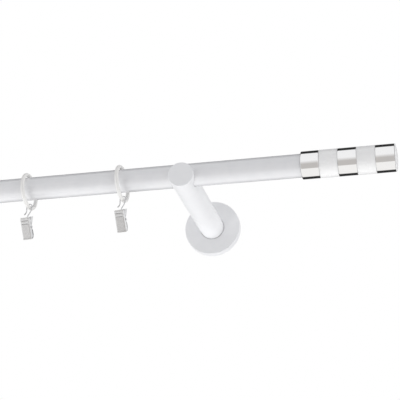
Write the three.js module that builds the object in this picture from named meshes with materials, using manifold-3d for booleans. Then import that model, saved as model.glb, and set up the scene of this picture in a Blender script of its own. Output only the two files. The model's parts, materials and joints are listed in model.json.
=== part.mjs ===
// Curtain rod on two wall brackets: banded finials, sliding rings, and sprung clips on wire hooks.
//
// Millimetres, +Z up. The wall is the plane y = 0 and the room is towards -Y. The origin is the
// centre of the right bracket's wall plate, on the wall. The rod runs along X.
import * as THREE from 'three';
import { mergeVertices } from 'three/addons/utils/BufferGeometryUtils.js';
import Module from 'manifold-3d';

const wasm = await Module();
wasm.setup();

// ---------- driving dimensions ----------
const GAP = 0.3;                  // clearance between touching pieces

const ROD_LENGTH = 800;
const ROD_RADIUS = 12.5;
const ROD_WALL = 1.2;
const ROD_TO_WALL = 155;          // wall to rod axis
const ROD_ABOVE_ARM = 5;          // rod axis above arm axis
const OVERHANG = 126;             // rod end beyond the bracket's axis

const ARM_RADIUS = 13.7;
const ARM_NOSE = 16.7;            // arm's front face beyond the rod axis
const ARM_CHAMFER = 1;

const PLATE_RADIUS = 28;
const PLATE_THICKNESS = 4;
const BOSS_RADIUS = 12;
const BOSS_HEIGHT = 7.5;          // from the wall
const PLATE_SCREW_SPACING = 40;
const PLATE_SCREW_RADIUS = 2.3;
const PLATE_COUNTERSINK_RADIUS = 4.4;

const STUD_RADIUS = 4;
const STUD_LENGTH = 30;
const STUD_SOCKET_FLOOR = 1.2;    // metal left behind the stud in the wall plate

const ROSETTE_RADIUS = 32.3;
const ROSETTE_DEPTH = 9;
const ROSETTE_SKIN = 1.3;
const ROSETTE_EDGE = 0.7;
const ROSETTE_SCREW_RADIUS = 1.5;
const ROSETTE_SCREW_Y = 2.4;      // from the wall

const FINIAL_RADIUS = 14.7;
const FINIAL_BANDS = 5;
const FINIAL_LENGTH = 98;
const FINIAL_CAP = 1;             // visible thickness of the end cap at its rim
const FINIAL_CROWN = 1.6;         // rise of the end cap's crowned face
const FINIAL_CORE_RADIUS = 12.2;
const FINIAL_FERRULE_WALL = 1.7;  // inner end wall of the first band
const FINIAL_SPIGOT = 30;         // length inside the rod
const FINIAL_BEVEL = 0.8;
const BAND_JOINT = 0.2;
const CAP_PLUG_RADIUS = 6;
const CAP_PLUG_LENGTH = 8;

const RING_RADIUS = 18.5;         // to the middle of its round section
const RING_SECTION = 2.1;
const RING_LEAN = THREE.MathUtils.degToRad(3.3);
const RING_TURN = THREE.MathUtils.degToRad(-3.4);
const RING_CLEARANCE = 0.7;       // between the ring's top and the rod
const RING_END_SPACING = 104.9;   // between the two outermost rings at each end
const RING_TO_BRACKET = 68;

const WIRE_RADIUS = 0.6;
const HOOK_BEND = 3.4;            // bend over the ring
const HOOK_DROP = 14.2;           // ring section's centre down to the clip's hole
const EYE_BEND = 2.6;
const EYE_OFFSET = 0.5;           // eye to the right of the bend
const HOOK_YAW = THREE.MathUtils.degToRad(-17);

const CLIP_WIDTH = 11.2;
const CLIP_HEIGHT = 24;
const CLIP_PITCH = THREE.MathUtils.degToRad(25.5);
const CLIP_ROLL = THREE.MathUtils.degToRad(4);
const SHEET = 0.7;
const EAR = 0.6;                  // thickness of the folded side ears
const EAR_DEPTH = 3.3;
const EAR_TOP_DEPTH = 1.9;
const EAR_INSET = 0.6;            // ears end this far below the jaw's top edge
const LIP_DEPTH = 1.9;            // the front jaw's foot turns back this far
const PIVOT_Y = 3;
const PIVOT_Z = -11;
const PIVOT_LUG = 1.6;
const PIN_RADIUS = 0.6;
const CLIP_HOLE_RADIUS = 1.6;
const BEAD_RADIUS = 0.6;
const BEAD_PROUD = 0.45;
const FRONT_BEADS = [3.4, 7];     // stiffening ridges, down from the front jaw's top
const REAR_BEADS = [1.1, 6.1];    // and down the rear jaw's handle
const BEAD_INSET = 0.6;           // ridges end this far from the jaw's sides
const SPRING_WIRE = 0.25;
const SPRING_RADIUS = 1.2;
const SPRING_TURNS = 2.6;
const SPRING_SIDES = [1, 3.2];    // across the jaw, from its middle

const ROUND = 32;                 // facets on large round parts
const BAND_ROUND = 24;            // on the finials
const SMALL_ROUND = 12;

// ---------- materials ----------
const white = () => new THREE.MeshStandardMaterial({ color: 0xf0f0f2, roughness: 0.45, metalness: 0 });
const ringWhite = () => new THREE.MeshStandardMaterial({ color: 0xf1f0ee, roughness: 0.35, metalness: 0 });
const chrome = () => new THREE.MeshStandardMaterial({ color: 0xe6e6e6, roughness: 0.08, metalness: 1 });
const zinc = () => new THREE.MeshStandardMaterial({ color: 0xc4c3c4, roughness: 0.35, metalness: 1 });
const steel = () => new THREE.MeshStandardMaterial({ color: 0xb8b8ba, roughness: 0.3, metalness: 1 });

// ---------- solids ----------
function toSolid(geometry) {
  const bare = geometry.clone();
  bare.deleteAttribute('normal');
  bare.deleteAttribute('uv');
  const merged = mergeVertices(bare, 1e-4);
  const index = merged.index.array;
  const triangles = [];
  for (let i = 0; i < index.length; i += 3) {
    const [a, b, c] = [index[i], index[i + 1], index[i + 2]];
    if (a !== b && b !== c && c !== a) triangles.push(a, b, c);
  }
  const mesh = new wasm.Mesh({
    numProp: 3,
    vertProperties: new Float32Array(merged.attributes.position.array),
    triVerts: new Uint32Array(triangles),
  });
  return new wasm.Manifold(mesh);
}

function toGeometry(solid) {
  const mesh = solid.getMesh();
  const geometry = new THREE.BufferGeometry();
  geometry.setAttribute('position', new THREE.BufferAttribute(new Float32Array(mesh.vertProperties), 3));
  geometry.setIndex(new THREE.BufferAttribute(new Uint32Array(mesh.triVerts), 1));
  geometry.computeVertexNormals();
  return geometry;
}

const join = (parts) => parts.map(toSolid).reduce((sum, part) => sum.add(part));
const cut = (solid, tools) => tools.map(toSolid).reduce((rest, tool) => rest.subtract(tool), solid);

// A body turned about the Y axis: the outline is [radius, y] pairs, run anticlockwise.
function turned(outline, facets = ROUND, closed = false) {
  const points = outline.map(([r, y]) => new THREE.Vector2(r, y));
  if (closed) points.push(points[0].clone());
  return new THREE.LatheGeometry(points, facets);
}

// A plain cylinder from one end to the other of an axis direction.
function cylinder(radius, from, to, axis = 'y', facets = SMALL_ROUND) {
  const geometry = new THREE.CylinderGeometry(radius, radius, to - from, facets);
  geometry.translate(0, (from + to) / 2, 0);
  if (axis === 'x') geometry.rotateZ(-Math.PI / 2);
  if (axis === 'z') geometry.rotateX(Math.PI / 2);
  return geometry;
}

// A flat outline in the YZ plane, thickened along X about x = middle.
function slab(shape, thickness, middle = 0) {
  const geometry = new THREE.ExtrudeGeometry(shape, { depth: thickness, bevelEnabled: false, curveSegments: 6 });
  geometry.translate(0, 0, -thickness / 2);
  const turn = new THREE.Matrix4().makeBasis(
    new THREE.Vector3(0, 1, 0), new THREE.Vector3(0, 0, 1), new THREE.Vector3(1, 0, 0));
  geometry.applyMatrix4(turn);
  geometry.translate(middle, 0, 0);
  return geometry;
}

// A strip of bent sheet metal: its middle line is [y, z] pairs.
function bentSheet(line, thickness, width) {
  const points = line.map(([y, z]) => new THREE.Vector2(y, z));
  const offset = (side) => points.map((point, i) => {
    const before = points[Math.max(i - 1, 0)];
    const after = points[Math.min(i + 1, points.length - 1)];
    const along = after.clone().sub(before).normalize();
    return new THREE.Vector2(-along.y, along.x).multiplyScalar(side * thickness / 2).add(point);
  });
  return slab(new THREE.Shape([...offset(1), ...offset(-1).reverse()]), width);
}

// Round wire along a smooth line through points; its section has an even number of sides.
function wire(points, radius, sides, steps) {
  const section = new THREE.Shape();
  section.absarc(0, 0, radius, 0, 2 * Math.PI);
  const path = new THREE.CatmullRomCurve3(points, false, 'centripetal');
  return new THREE.ExtrudeGeometry(section, {
    steps, curveSegments: sides / 2, bevelEnabled: false, extrudePath: path,
  });
}

function named(name, geometry, material) {
  const mesh = new THREE.Mesh(geometry, material);
  mesh.name = name;
  return mesh;
}

// ---------- bracket ----------
// Its axis is Y; the wall is y = 0 and the arm reaches towards -Y.
function wallPlate() {
  const disc = turned([
    [0, -STUD_SOCKET_FLOOR], [STUD_RADIUS + GAP, -STUD_SOCKET_FLOOR], [STUD_RADIUS + GAP, -BOSS_HEIGHT],
    [BOSS_RADIUS, -BOSS_HEIGHT], [BOSS_RADIUS, -PLATE_THICKNESS], [PLATE_RADIUS - 0.6, -PLATE_THICKNESS],
    [PLATE_RADIUS, -PLATE_THICKNESS + 0.6], [PLATE_RADIUS, 0], [0, 0],
  ]);
  const holes = [-1, 1].flatMap((side) => {
    const shank = cylinder(PLATE_SCREW_RADIUS, -PLATE_THICKNESS - 1, 1);
    const sink = new THREE.CylinderGeometry(PLATE_SCREW_RADIUS - 0.1, PLATE_COUNTERSINK_RADIUS + 0.3, 2.4, SMALL_ROUND);
    sink.translate(0, -PLATE_THICKNESS + 0.9, 0);
    return [shank, sink].map((tool) => tool.translate(side * PLATE_SCREW_SPACING / 2, 0, 0));
  });
  return toGeometry(cut(toSolid(disc), holes));
}

function stud() {
  const near = -STUD_SOCKET_FLOOR - GAP;
  const far = near - STUD_LENGTH;
  const bevel = 0.8;
  return turned([
    [0, far], [STUD_RADIUS - bevel, far], [STUD_RADIUS, far + bevel],
    [STUD_RADIUS, near - bevel], [STUD_RADIUS - bevel, near], [0, near],
  ], SMALL_ROUND);
}

function arm() {
  const front = -ROD_TO_WALL - ARM_NOSE;
  const back = -BOSS_HEIGHT - GAP;
  const bore = -STUD_SOCKET_FLOOR - STUD_LENGTH - 2;
  const bar = turned([
    [0, front], [ARM_RADIUS - ARM_CHAMFER, front], [ARM_RADIUS, front + ARM_CHAMFER],
    [ARM_RADIUS, back], [STUD_RADIUS + GAP, back], [STUD_RADIUS + GAP, bore], [0, bore],
  ]);
  const seat = ROD_RADIUS + GAP;
  const width = 2 * ARM_RADIUS + 2;
  const round = cylinder(seat, -width / 2, width / 2, 'x', ROUND);
  const mouth = new THREE.BoxGeometry(width, 2 * seat, 2 * ARM_RADIUS);
  mouth.translate(0, 0, ARM_RADIUS);
  const tools = [round, mouth].map((tool) => tool.translate(0, -ROD_TO_WALL, ROD_ABOVE_ARM));
  return toGeometry(cut(toSolid(bar), tools));
}

function rosette() {
  const front = -ROSETTE_DEPTH;
  const inside = ROSETTE_RADIUS - ROSETTE_SKIN;
  const cup = turned([
    [ARM_RADIUS + GAP, front], [ROSETTE_RADIUS - ROSETTE_EDGE, front], [ROSETTE_RADIUS, front + ROSETTE_EDGE],
    [ROSETTE_RADIUS, 0], [inside, 0], [inside, front + ROSETTE_SKIN], [ARM_RADIUS + GAP, front + ROSETTE_SKIN],
  ], ROUND, true);
  const hole = cylinder(ROSETTE_SCREW_RADIUS + GAP, PLATE_RADIUS, ROSETTE_RADIUS + 2, 'z', 12);
  hole.translate(0, -ROSETTE_SCREW_Y, 0);
  return toGeometry(cut(toSolid(cup), [hole]));
}

function rosetteScrew() {
  const screw = cylinder(ROSETTE_SCREW_RADIUS, PLATE_RADIUS + GAP, ROSETTE_RADIUS - 0.4, 'z', 12);
  screw.translate(0, -ROSETTE_SCREW_Y, 0);
  return screw;
}

function bracket(side) {
  const group = new THREE.Group();
  group.add(
    named(`wall_plate_${side}`, wallPlate(), steel()),
    named(`arm_stud_${side}`, stud(), steel()),
    named(`arm_${side}`, arm(), white()),
    named(`rosette_${side}`, rosette(), white()),
    named(`rosette_screw_${side}`, rosetteScrew(), steel()),
  );
  return group;
}

// ---------- rod ----------
function rodTube() {
  const inside = ROD_RADIUS - ROD_WALL;
  const tube = turned([
    [inside, 0], [ROD_RADIUS, 0], [ROD_RADIUS, ROD_LENGTH], [inside, ROD_LENGTH],
  ], ROUND, true);
  return tube.rotateZ(Math.PI / 2);
}

// ---------- finial ----------
// Its axis is Y, pointing away from the rod's end face at y = 0.
function finialCore() {
  const spigot = ROD_RADIUS - ROD_WALL - GAP;
  const shoulder = FINIAL_FERRULE_WALL + 2 * GAP;
  const end = FINIAL_LENGTH - FINIAL_CAP - GAP;
  const socket = CAP_PLUG_RADIUS + GAP;
  return turned([
    [0, -FINIAL_SPIGOT], [spigot - 1, -FINIAL_SPIGOT], [spigot, -FINIAL_SPIGOT + 1.5], [spigot, shoulder],
    [FINIAL_CORE_RADIUS, shoulder], [FINIAL_CORE_RADIUS, end], [socket, end],
    [socket, end - CAP_PLUG_LENGTH - GAP], [0, end - CAP_PLUG_LENGTH - GAP],
  ], BAND_ROUND);
}

function finialBand(index) {
  const first = index === 0;
  const last = index === FINIAL_BANDS - 1;
  const pitch = (FINIAL_LENGTH - FINIAL_CAP) / FINIAL_BANDS;
  const start = first ? GAP : index * pitch;
  const end = (index + 1) * pitch - (last ? 0 : BAND_JOINT);
  const bore = FINIAL_CORE_RADIUS + GAP;
  const collar = ROD_RADIUS - ROD_WALL;
  const inner = first
    ? [[bore, start + FINIAL_FERRULE_WALL], [collar, start + FINIAL_FERRULE_WALL], [collar, start]]
    : [[bore, start]];
  const edge = first
    ? [[FINIAL_RADIUS - FINIAL_BEVEL, start], [FINIAL_RADIUS, start + FINIAL_BEVEL]]
    : [[FINIAL_RADIUS, start]];
  return turned([...edge, [FINIAL_RADIUS, end], [bore, end], ...inner], BAND_ROUND, true);
}

function finialCap() {
  const near = FINIAL_LENGTH - FINIAL_CAP + BAND_JOINT;
  return turned([
    [0, near - CAP_PLUG_LENGTH], [CAP_PLUG_RADIUS, near - CAP_PLUG_LENGTH], [CAP_PLUG_RADIUS, near],
    [FINIAL_RADIUS, near], [FINIAL_RADIUS, FINIAL_LENGTH],
    [FINIAL_RADIUS * 0.6, FINIAL_LENGTH + FINIAL_CROWN * 0.64], [0, FINIAL_LENGTH + FINIAL_CROWN],
  ], BAND_ROUND);
}

function finial(side) {
  const group = new THREE.Group();
  group.add(named(`finial_core_${side}`, finialCore(), white()));
  for (let index = 0; index < FINIAL_BANDS; index += 1) {
    const bright = index % 2 === 0;
    const name = `finial_${bright ? 'chrome' : 'white'}_band_${index + 1}_${side}`;
    group.add(named(name, finialBand(index), bright ? chrome() : white()));
  }
  group.add(named(`finial_end_cap_${side}`, finialCap(), white()));
  return group;
}

// ---------- ring, hook and clip ----------
function ring() {
  const torus = new THREE.TorusGeometry(RING_RADIUS, RING_SECTION, 8, 28);
  return torus.rotateY(Math.PI / 2);
}

// Points on a circle about a centre, in the plane of two unit directions, from one angle to another.
function arcPoints(centre, radius, across, from, to, count) {
  const up = new THREE.Vector3(0, 0, 1);
  return Array.from({ length: count }, (_, i) => {
    const angle = THREE.MathUtils.degToRad(from + (to - from) * i / (count - 1));
    return centre.clone()
      .addScaledVector(across, radius * Math.cos(angle))
      .addScaledVector(up, radius * Math.sin(angle));
  });
}

// The origin is the centre of the ring's section at its lowest point. The bend hangs over it in
// the XZ plane; the eye at the bottom is a quarter turn round, in the YZ plane.
function hook() {
  const right = new THREE.Vector3(1, 0, 0);
  const front = new THREE.Vector3(0, -1, 0);
  const bendCentre = new THREE.Vector3(0.2, 0, 0.3);
  const eyeCentre = new THREE.Vector3(EYE_OFFSET, 0, EYE_BEND - HOOK_DROP);
  const freeEnd = [[-6, -7.2], [-4.1, -5.8], [-3.3, -3.7], [-3.3, -1.6]];
  const points = [
    ...freeEnd.map(([x, z]) => new THREE.Vector3(x, 0, z)),
    ...arcPoints(bendCentre, HOOK_BEND, right, 180, 0, 9),
    new THREE.Vector3(3.3, 0, -2),
    new THREE.Vector3(2.2, -0.1, -5),
    new THREE.Vector3(1.2, -1, -7.8),
    ...arcPoints(eyeCentre, EYE_BEND, front, 35, -205, 10),
  ];
  return wire(points, WIRE_RADIUS, 6, 34);
}

// The clip's own frame: front face of the front jaw at y = 0, its top edge at z = 0, back is +Y.
const REAR_HANDLE_TOP = new THREE.Vector2(10.4, -0.4);
const REAR_HANDLE_FOOT = new THREE.Vector2(5, -9.6);
const HOLE_FROM_TOP = 3.3;
const HANDLE_SLOPE = REAR_HANDLE_FOOT.clone().sub(REAR_HANDLE_TOP).normalize();
const CLIP_HOLE = REAR_HANDLE_TOP.clone().addScaledVector(HANDLE_SLOPE, HOLE_FROM_TOP);

function clipFront() {
  const foot = SHEET / 2 - CLIP_HEIGHT;
  const plate = bentSheet([
    [SHEET / 2, 0], [SHEET / 2, foot + 0.55], [SHEET, foot], [LIP_DEPTH, foot],
  ], SHEET, CLIP_WIDTH);
  const lugRadius = PIVOT_LUG + 0.4;
  const earFoot = foot + 0.55;
  const earShape = new THREE.Shape();
  earShape.moveTo(SHEET / 2, -EAR_INSET);
  earShape.lineTo(SHEET / 2, earFoot);
  earShape.lineTo(EAR_DEPTH - 1.2, earFoot);
  earShape.lineTo(EAR_DEPTH, earFoot + 2);
  earShape.lineTo(EAR_DEPTH, PIVOT_Z - lugRadius);
  earShape.absarc(PIVOT_Y, PIVOT_Z, lugRadius, -Math.PI / 3, Math.PI / 3, false);
  earShape.lineTo(EAR_DEPTH, PIVOT_Z + lugRadius);
  earShape.lineTo(EAR_TOP_DEPTH, -EAR_INSET);
  const ears = [-1, 1].map((side) => slab(earShape, EAR, side * (CLIP_WIDTH - EAR) / 2));
  const ridge = CLIP_WIDTH / 2 - BEAD_INSET;
  const beads = FRONT_BEADS.map((down) => cylinder(BEAD_RADIUS, -ridge, ridge, 'x', 6)
    .translate(0, BEAD_RADIUS - BEAD_PROUD, -down));
  return toGeometry(cut(join([plate, ...ears, ...beads]), [pinBore()]));
}

const pinBore = () => cylinder(PIN_RADIUS + GAP, -CLIP_WIDTH, CLIP_WIDTH, 'x', 8).translate(0, PIVOT_Y, PIVOT_Z);

function clipRear() {
  const width = CLIP_WIDTH - 2 * EAR - 2 * GAP;
  const spine = REAR_HANDLE_FOOT.x;
  const foot = 0.7 - CLIP_HEIGHT;
  const belly = spine + 1.2;
  const strip = bentSheet([
    REAR_HANDLE_TOP.toArray(), REAR_HANDLE_FOOT.toArray(), [spine, PIVOT_Z - 1.4], [belly, PIVOT_Z - 3.8],
    [belly, foot + 4], [spine + 0.2, foot + 1.2], [spine - 0.6, foot + 0.1], [LIP_DEPTH + 0.8, foot],
  ], SHEET, width);
  const lugShape = new THREE.Shape();
  lugShape.moveTo(spine, REAR_HANDLE_FOOT.y + 0.4);
  lugShape.lineTo(PIVOT_Y, PIVOT_Z + PIVOT_LUG);
  lugShape.absarc(PIVOT_Y, PIVOT_Z, PIVOT_LUG, Math.PI / 2, 3 * Math.PI / 2, false);
  lugShape.lineTo(spine, PIVOT_Z - PIVOT_LUG - 0.2);
  const lugs = [-1, 1].map((side) => slab(lugShape, EAR, side * (width - EAR) / 2));
  const ridge = width / 2 - BEAD_INSET;
  const outward = new THREE.Vector2(-HANDLE_SLOPE.y, HANDLE_SLOPE.x);
  const beads = REAR_BEADS.map((down) => {
    const centre = REAR_HANDLE_TOP.clone().addScaledVector(HANDLE_SLOPE, down)
      .addScaledVector(outward, SHEET / 2 - BEAD_RADIUS + BEAD_PROUD);
    return cylinder(BEAD_RADIUS, -ridge, ridge, 'x', 6).translate(0, centre.x, centre.y);
  });
  const eyeHole = cylinder(CLIP_HOLE_RADIUS, -3, 3, 'y', 10)
    .rotateX(Math.atan2(HANDLE_SLOPE.x, HANDLE_SLOPE.y) - Math.PI)
    .translate(0, CLIP_HOLE.x, CLIP_HOLE.y);
  return toGeometry(cut(join([strip, ...lugs, ...beads]), [pinBore(), eyeHole]));
}

function clipPin() {
  const reach = CLIP_WIDTH / 2 + 0.25;
  const head = 0.4;
  const headRadius = 1.1;
  const pin = turned([
    [0, -reach - head], [headRadius, -reach - head], [headRadius, -reach], [PIN_RADIUS, -reach],
    [PIN_RADIUS, reach], [headRadius, reach], [headRadius, reach + head], [0, reach + head],
  ], 8);
  return pin.rotateZ(-Math.PI / 2).translate(0, PIVOT_Y, PIVOT_Z);
}

// A torsion spring round the pin: one arm lies along the front jaw, the other along the rear handle.
function clipSpring() {
  const [left, right] = SPRING_SIDES;
  const steps = 22;
  const coil = Array.from({ length: steps + 1 }, (_, i) => {
    const share = i / steps;
    const angle = Math.PI - 2 * Math.PI * SPRING_TURNS * share;
    return new THREE.Vector3(
      left + (right - left) * share,
      PIVOT_Y + SPRING_RADIUS * Math.cos(angle),
      PIVOT_Z + SPRING_RADIUS * Math.sin(angle),
    );
  });
  const frontArm = [[1.35, -5.2], [1.4, -8.4]].map(([y, z]) => new THREE.Vector3(left, y, z));
  const rearArm = [[4.6, -8.9], [6, -6.3]].map(([y, z]) => new THREE.Vector3(right, y, z));
  return wire([...frontArm, ...coil, ...rearArm], SPRING_WIRE, 4, 32);
}

function hangingClip(index) {
  const clip = new THREE.Group();
  clip.add(
    named(`clip_rear_jaw_${index}`, clipRear(), zinc()),
    named(`clip_front_jaw_${index}`, clipFront(), zinc()),
    named(`clip_pin_${index}`, clipPin(), steel()),
    named(`clip_spring_${index}`, clipSpring(), steel()),
  );
  clip.position.set(0, -CLIP_HOLE.x, -CLIP_HOLE.y);
  const tilt = new THREE.Group();
  tilt.rotation.set(CLIP_PITCH, CLIP_ROLL, 0);
  tilt.position.set(EYE_OFFSET, 0, -HOOK_DROP);
  tilt.add(clip);
  return tilt;
}

function ringSet(index) {
  const ringMesh = named(`ring_${index}`, ring(), ringWhite());
  ringMesh.rotation.set(0, -RING_LEAN, RING_TURN);
  const hanger = new THREE.Group();
  hanger.position.set(RING_RADIUS * Math.sin(RING_LEAN), 0, -RING_RADIUS * Math.cos(RING_LEAN));
  hanger.rotation.z = HOOK_YAW;
  hanger.add(named(`hook_${index}`, hook(), steel()), hangingClip(index));
  const set = new THREE.Group();
  set.add(ringMesh, hanger);
  return set;
}

// ---------- assembly ----------
const bracketSpan = ROD_LENGTH - 2 * OVERHANG;
const leftBracketX = -bracketSpan;
const rodEnd = OVERHANG;
const rodHeight = ROD_ABOVE_ARM;
const ringDrop = RING_RADIUS - RING_SECTION - ROD_RADIUS - RING_CLEARANCE;

// Rings from the right: two near each bracket at the end spacing, and one in the middle.
function ringPlaces() {
  const first = -RING_TO_BRACKET;
  const second = first - RING_END_SPACING;
  const last = leftBracketX + RING_TO_BRACKET;
  const fourth = last + RING_END_SPACING;
  return [first, second, (second + fourth) / 2, fourth, last];
}

const curtainRod = new THREE.Group();
curtainRod.name = 'curtain_rod_with_brackets';

const leftBracket = bracket('left');
leftBracket.position.x = leftBracketX;
curtainRod.add(bracket('right'), leftBracket);

const rod = named('rod_tube', rodTube(), white());
rod.position.set(rodEnd, -ROD_TO_WALL, rodHeight);
curtainRod.add(rod);

const rightFinial = finial('right');
rightFinial.rotation.z = -Math.PI / 2;
rightFinial.position.set(rodEnd, -ROD_TO_WALL, rodHeight);
const leftFinial = finial('left');
leftFinial.rotation.z = Math.PI / 2;
leftFinial.position.set(rodEnd - ROD_LENGTH, -ROD_TO_WALL, rodHeight);
curtainRod.add(rightFinial, leftFinial);

ringPlaces().forEach((x, i) => {
  const set = ringSet(i + 1);
  set.position.set(x, -ROD_TO_WALL, rodHeight - ringDrop);
  curtainRod.add(set);
});

export default curtainRod;
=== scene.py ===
"""Curtain rod on two wall brackets, with banded finials, rings, wire hooks and sprung clips.

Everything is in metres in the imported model's frame: the wall is y = 0, the room is towards -Y and +Z is up.
Outlines are written in millimetres and scaled by MM.
"""

import json
import math

import bmesh
import bpy
from mathutils import Matrix, Vector


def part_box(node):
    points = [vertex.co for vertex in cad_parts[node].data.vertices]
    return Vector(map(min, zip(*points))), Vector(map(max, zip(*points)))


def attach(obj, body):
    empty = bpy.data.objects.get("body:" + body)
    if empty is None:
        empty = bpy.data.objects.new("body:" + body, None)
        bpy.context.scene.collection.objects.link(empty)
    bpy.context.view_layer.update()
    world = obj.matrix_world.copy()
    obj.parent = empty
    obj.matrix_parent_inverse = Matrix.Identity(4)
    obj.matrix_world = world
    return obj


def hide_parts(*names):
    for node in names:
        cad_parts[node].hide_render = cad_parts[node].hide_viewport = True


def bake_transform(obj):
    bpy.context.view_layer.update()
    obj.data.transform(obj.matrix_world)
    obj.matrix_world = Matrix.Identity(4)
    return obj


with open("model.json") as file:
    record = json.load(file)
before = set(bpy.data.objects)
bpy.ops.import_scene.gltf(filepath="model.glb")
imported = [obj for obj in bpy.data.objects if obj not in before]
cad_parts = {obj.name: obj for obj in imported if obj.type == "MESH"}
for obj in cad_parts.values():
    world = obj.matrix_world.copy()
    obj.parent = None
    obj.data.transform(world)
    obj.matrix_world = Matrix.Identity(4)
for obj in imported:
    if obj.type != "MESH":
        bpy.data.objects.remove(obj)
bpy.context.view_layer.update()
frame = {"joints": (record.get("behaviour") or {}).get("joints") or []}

MM = 0.001
SIDES = ("right", "left")
RINGS = range(1, 6)
GAP = 0.3

# ---------- sizes shared with the frame, in millimetres ----------
ROD_RADIUS = 12.5
ROD_WALL = 1.2
ARM_RADIUS = 13.7
ARM_ROUNDING = 1.1
PLATE_RADIUS = 28
PLATE_THICKNESS = 4
BOSS_RADIUS = 12
BOSS_HEIGHT = 7.5
PLATE_SCREW_OFFSET = 20
PLATE_SCREW_RADIUS = 2.3
PLATE_COUNTERSINK_RADIUS = 4.4
PLATE_COUNTERSINK_DEPTH = 2.1
PLATE_EDGE = 0.6
STUD_RADIUS = 4
STUD_LENGTH = 30
STUD_FLOOR = 1.2
THREAD_PITCH = 1.25
THREAD_DEPTH = 0.55
THREAD_LEAD = 1.2
THREAD_CHAMFER = 0.8
THREAD_CREST = 0.12
THREAD_STEPS = 8
THREAD_SIDES = 36
ARM_BORE_SPARE = 2
NOTCH_EDGE = 0.55
NOTCH_STEPS = 48
ROSETTE_RADIUS = 32.3
ROSETTE_DEPTH = 9
ROSETTE_SKIN = 1.3
ROSETTE_SCREW_Y = -2.4
ROSETTE_SCREW_RADIUS = 1.5
ROSETTE_EDGE = 0.9
SOCKET_RADIUS = 0.85
SOCKET_DEPTH = 1.4
FINIAL_RADIUS = 14.7
FINIAL_BANDS = 5
FINIAL_LENGTH = 98
FINIAL_CAP = 1
FINIAL_CROWN = 1.6
FINIAL_CORE_RADIUS = 12.2
FINIAL_FERRULE_WALL = 1.7
FINIAL_SPIGOT = 30
SPIGOT_RIBS = 4
SPIGOT_RIB_PITCH = 5
SPIGOT_RIB_DEPTH = 0.7
BAND_JOINT = 0.2
CAP_PLUG_RADIUS = 6
CAP_PLUG_LENGTH = 8
CROWN_STEPS = 12
RING_SECTION = 2.1
RING_RADIUS = 18.5
RING_TURN = math.radians(-3.4)
WIRE_RADIUS = 0.6
HOOK_BEND = 3.4
HOOK_DROP = 14.2
EYE_BEND = 2.6
EYE_OFFSET = 0.5
HOOK_FREE_END = ((-6, -7.2), (-4.1, -5.8), (-3.3, -3.7), (-3.3, -1.6))
HOOK_LEG = ((3.3, 0, -2), (2.2, -0.1, -5), (1.2, -1, -7.8))
CLIP_WIDTH = 11.2
CLIP_HEIGHT = 24
CLIP_PITCH = math.radians(25.5)
CLIP_ROLL = math.radians(4)
SHEET = 0.7
EAR = 0.6
EAR_DEPTH = 3.3
EAR_TOP_DEPTH = 1.9
EAR_LEAST_DEPTH = 1
EAR_LUG_DEPTH = 1.7
EAR_LUG_SPREAD = 1.9
EAR_BEND = 0.9
LIP_DEPTH = 1.9
FRONT_ROW = 0.12
FRONT_RIDGES = (3.4, 7)
RIDGE_HEIGHT = 0.5
RIDGE_RISE = 0.55
RIDGE_SPREAD = 0.45
GROOVE_DEPTH = 0.4
GROOVE_DROP = 0.35
GROOVE_SPREAD = 0.32
REAR_RIDGES = (1.1, 6.1)
PIVOT = (3, -11)
PIN_RADIUS = 0.6
PIN_HEAD_RADIUS = 1.1
PIN_HEAD = 0.4
LUG_REACH = 1.6
SPRING_SIDES = (1.0, 3.2)
SPRING_WIRE = 0.25
SPRING_RADIUS = 1.2
SPRING_TURNS = 2.6
SPRING_STEPS = 40
HANDLE_TOP = Vector((10.4, -0.4))
HANDLE_FOOT = Vector((5, -9.6))
HANDLE_SLOPE = (HANDLE_FOOT - HANDLE_TOP).normalized()
CLIP_HOLE = HANDLE_TOP + HANDLE_SLOPE * 3.3
CLIP_HOLE_RADIUS = 1.6

joints = {joint["name"]: joint for joint in frame["joints"]}


# ---------- materials ----------
def mix_colours(tree, share, first, second):
    """A colour between first and second, each a colour or a socket."""
    made = tree.nodes.new("ShaderNodeMix")
    made.data_type = "RGBA"
    tree.links.new(share, made.inputs["Factor"])
    sockets = [s for s in made.inputs if s.type == "RGBA"]
    for socket, value in zip(sockets, (first, second)):
        if isinstance(value, bpy.types.NodeSocket):
            tree.links.new(value, socket)
        else:
            socket.default_value = (*value, 1)
    return next(s for s in made.outputs if s.type == "RGBA")


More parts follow.
